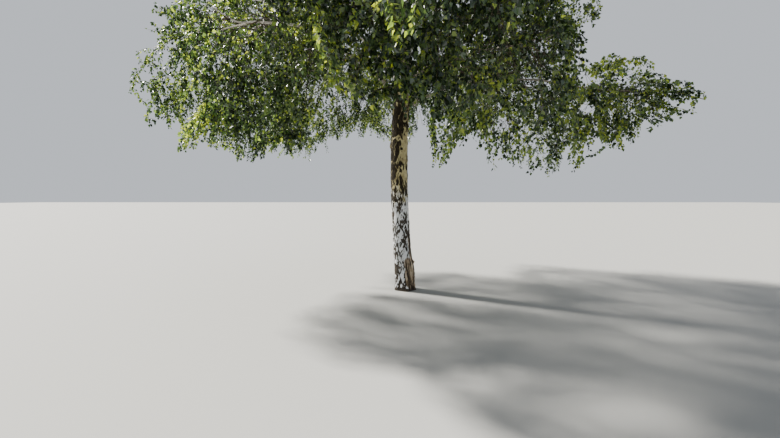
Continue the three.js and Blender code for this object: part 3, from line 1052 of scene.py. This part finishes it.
# The leaves: small, pointed and kite-shaped, glossy green and thin enough to glow when the light
# is behind them. Each hangs from a short stalk and is folded a little along its midrib. They sit
# along the twigs on alternate sides, mostly two from each bud.
leaf_spacing = 0.0275
leaves_per_bud = 1.8
second_leaf_turn = 2.4
twig_bare_share = 0.06
shoot_bare_share = 0.45
fewest_buds = 3
leaf_hang = 0.62
leaf_spread = 0.66
leaf_along = 0.25
leaf_scatter = 0.24
leaf_twist = 0.55
tip_share = 0.85
tip_leaf_size = 0.85
blade_length = 0.048
blade_width = 0.80
blade_droop = 0.12
blade_folds = (0.08, 0.45)
stalk_length = 0.013
stalk_half_width = 0.0007
full_outline = ((0.30, 1.0), (0.64, 0.60), (1.0, 0.0), (0.64, -0.60), (0.30, -1.0))
plain_outline = ((0.38, 0.95), (1.0, 0.0), (0.38, -0.95))
plain_depth = 0.75
leaf_sizes = (0.70, 1.20)
leaf_scales = {"left": 0.86, "back": 0.86, "skirt_right": 0.86, "": 1.0}
upper_leaf_scale = 1.6
view_top_slope = 0.56
middle_tint = 0.355
tint_by_patch = 0.26
patches_per_metre = 1.3
tint_by_spray = 0.15
tint_by_leaf = 0.25
# The tints darken towards the right, as painted shade.
painted_shade_rightwards = -0.004
# Whole masses shifted in tint: the long arm painted lighter and the left masses darker, as painted light
# and shade.
painted_light_and_shade_of_mass = {"right_arm": 0.2, "left": -0.10, "": 0.0}
# Leaves beyond the mass's surface take paler tints: young leaves at the tips, and painted light on the
# crown's edge.
young_and_painted_lit_fringe_tint = 0.10
fringe_depth = 1.03
far_tint = 0.5
# Each tint: its face colour, the colour it lets through and its gloss. Beside the leaves' own tones, the
# darkest tints are painted shade and the brightest painted light, and the blue in the faces, teal in the
# second and fourth, is a painted reflection of the sky.
leaf_tints_lit_and_shaded = [
    ((0.006, 0.011, 0.007), (0.03, 0.06, 0.012), 0.10),
    ((0.012, 0.022, 0.024), (0.05, 0.10, 0.022), 1.00),
    ((0.014, 0.026, 0.022), (0.10, 0.17, 0.034), 0.30),
    ((0.026, 0.047, 0.050), (0.16, 0.26, 0.036), 1.00),
    ((0.032, 0.056, 0.034), (0.27, 0.41, 0.050), 0.45),
    ((0.052, 0.082, 0.044), (0.42, 0.58, 0.034), 0.90),
    ((0.068, 0.106, 0.044), (0.62, 0.78, 0.060), 0.40),
    ((0.096, 0.135, 0.048), (0.80, 0.92, 0.060), 0.40),
]
leaf_roughness = 0.32
share_let_through = 0.38
leaf_materials = []
for number, (face_colour, through_colour, gloss) in enumerate(leaf_tints_lit_and_shaded):
    material, tree, shader = new_material(f"birch leaf {number + 1}")
    adjust(tree, shader, Base_Color=(*face_colour, 1), Roughness=leaf_roughness, Specular_IOR_Level=gloss)
    through = add(tree, "ShaderNodeBsdfTranslucent", Color=(*through_colour, 1))
    blend = add(tree, "ShaderNodeMixShader", Fac=share_let_through)
    feed(tree, blend.inputs[1], shader.outputs["BSDF"])
    feed(tree, blend.inputs[2], through.outputs["BSDF"])
    adjust(tree, tree.nodes["Material Output"], Surface=blend.outputs["Shader"])
    leaf_materials.append(material)


def leaf_blades(base, pointing, facing, size, fold, outline):
    """Many leaves at once: a thin stalk, and a blade of two halves folded up from the midrib."""
    across = np.cross(pointing, facing)
    blade = (size * blade_length)[:, None]
    half = blade * blade_width / 2
    lift = np.tan(fold)[:, None]
    heel = base + pointing * stalk_length * size[:, None]
    corners = [base - across * stalk_half_width, base + across * stalk_half_width, heel]
    for along_it, beside_it in outline:
        droop = facing * (half * abs(beside_it) * lift - blade * blade_droop * along_it ** 2)
        corners.append(heel + pointing * (blade * along_it) + across * (half * beside_it) + droop)
    points = np.stack(corners, axis=1)
    shift = (np.arange(len(base)) * points.shape[1])[:, None]
    if len(outline) == 5:
        quads = np.concatenate([np.array([[2, 3, 4, 5]]) + shift, np.array([[2, 5, 6, 7]]) + shift])
        triangles = np.array([[0, 1, 2]]) + shift
    else:
        quads = np.zeros((0, 4), int)
        triangles = np.concatenate([np.array([face]) + shift for face in ([0, 1, 2], [2, 3, 4], [2, 4, 5])])
    return points.reshape(-1, 3), quads, triangles


def grow_leaves(paths, length, bare_share, scale, random):
    """The place, direction and size of every leaf along these twigs, and the twig each sits on."""
    buds = np.maximum((length * (1 - bare_share) / (leaf_spacing * scale)).astype(int), fewest_buds)
    bud_row = np.repeat(np.arange(len(paths)), buds)
    order = np.arange(len(bud_row)) - np.repeat(np.cumsum(buds) - buds, buds)
    along = (1 - bare_share) * (order + random.uniform(0.5, 1.0, len(bud_row))) / buds[bud_row]
    share = bare_share + along
    double = random.random(len(bud_row)) < leaves_per_bud - 1
    which = np.concatenate([np.arange(len(bud_row)), np.flatnonzero(double)])
    turned = np.concatenate([np.zeros(len(bud_row)), np.full(double.sum(), second_leaf_turn)])
    row, order, share = bud_row[which], order[which], np.clip(share[which], 0.02, 1.0)
    base, travel = pick(paths, row, share)
    yaw = random.uniform(0, 2 * math.pi, len(paths))[row] + turned + random.normal(0, 0.5, len(row))
    side = sideways(travel, yaw) * np.where(order % 2, 1, -1)[:, None]
    pointing = -leaf_hang * up + leaf_spread * side + leaf_along * travel
    pointing = unit(pointing + random.normal(0, leaf_scatter, base.shape))
    facing = np.cross(side + random.normal(0, leaf_twist, base.shape), pointing)
    facing = unit(np.cross(pointing, facing))
    size = scale[row] * random.uniform(*leaf_sizes, len(row))
    size = size * np.where(share > tip_share, tip_leaf_size, 1.0)
    return base, pointing, facing, size, row


def leaf_scale(name, paths):
    """The leaves' size on each stem: true where the view takes it in, larger above its top edge."""
    away = paths[:, -1] - camera_place
    above_view = is_upper(name) & (away[:, 2] > view_top_slope * away[:, 1])
    return np.where(above_view, upper_leaf_scale, for_mass(leaf_scales, name))


def spray_tints(paths, random):
    """One tint for each spray, drifting from patch to patch of the crown."""
    patches = noise(paths[:, 0] * patches_per_metre, 90, 2)
    return middle_tint + tint_by_patch * patches + random.normal(0, tint_by_spray, len(paths))


for name, (random, paths, lengths) in stems.items():
    mass = masses[name]
    stem_tints = [spray_tints(stem_paths, random) for stem_paths in paths[:2]]
    stem_tints.append(np.full(len(paths[2]), far_tint))
    bare_shares = (twig_bare_share, shoot_bare_share, shoot_bare_share)
    leaves = [
        grow_leaves(stem_paths, length, bare_share, leaf_scale(name, stem_paths), random)
        for stem_paths, length, bare_share in zip(paths, lengths, bare_shares)
    ]
    base, pointing, facing, size = (np.concatenate(each) for each in list(zip(*leaves))[:4])
    tint = np.concatenate([stem_tint[part[4]] for stem_tint, part in zip(stem_tints, leaves)])
    # Each leaf also gets a little random change, and painted shade that deepens towards the right.
    tint = tint + random.normal(0, tint_by_leaf, len(tint)) + painted_shade_rightwards * base[:, 0]
    # Painted light on the long arm and painted shade on the left masses.
    tint = tint + for_mass(painted_light_and_shade_of_mass, name)
    # Paler leaves at the fringe: young leaves, and painted light.
    tint = tint + young_and_painted_lit_fringe_tint * (mass.depth(base) > fringe_depth)
    tint = np.clip((tint * len(leaf_tints_lit_and_shaded)).astype(int), 0, len(leaf_tints_lit_and_shaded) - 1)
    fold = random.uniform(*blade_folds, len(base))
    clear = ~shown_through(base + pointing * blade_length, random)
    plain = (mass.depth(base) < plain_depth) | is_upper(name) | ("back" in name)
    blades, quad_tints, triangle_tints = [], [], []
    for chosen, outline in ((clear & ~plain, full_outline), (clear & plain, plain_outline)):
        blade = leaf_blades(*(each[chosen] for each in (base, pointing, facing, size, fold)), outline)
        blades.append(blade)
        quad_tints.append(np.tile(tint[chosen], len(blade[1]) // max(chosen.sum(), 1)))
        triangle_tints.append(np.tile(tint[chosen], len(blade[2]) // max(chosen.sum(), 1)))
    mesh = make_mesh(
        "leaves_" + name, *joined(*blades),
        quad_slots=np.concatenate(quad_tints), triangle_slots=np.concatenate(triangle_tints),
    )
    place("leaves_" + name, mesh, leaf_materials, "foliage", "foliage_" + name, smooth=False)


# The floor and the light: a plain pale floor, one soft high light from behind and to the left, as
# the sun stands in the view, and an even pale surround.
floor_reach = 90
floor_corners = [
    (across * floor_reach, along * floor_reach, 0) for across, along in ((-1, -1), (1, -1), (1, 1), (-1, 1))
]
floor_mesh = make_mesh("floor", floor_corners, quads=[(0, 1, 2, 3)])
floor = add_object("floor", floor_mesh)
floor_material, tree, shader = new_material("pale floor")
adjust(tree, shader, Base_Color=(0.30, 0.30, 0.29, 1), Roughness=0.9)
floor_mesh.materials.append(floor_material)

sun_data = bpy.data.lights.new("high light", "SUN")
sun_data.energy = 17.0
sun_data.angle = math.radians(5)
sun_data.color = (1.0, 0.96, 0.88)
sun = add_object("high light", sun_data)
sun.rotation_euler = Vector(light_way).to_track_quat("-Z", "Y").to_euler()

world = bpy.data.worlds.new("surround")
world.use_nodes = True
tree = world.node_tree
adjust(tree, tree.nodes["Background"], Color=(0.88, 0.93, 1.0, 1), Strength=0.74)
bpy.context.scene.world = world

bpy.context.view_layer.update()
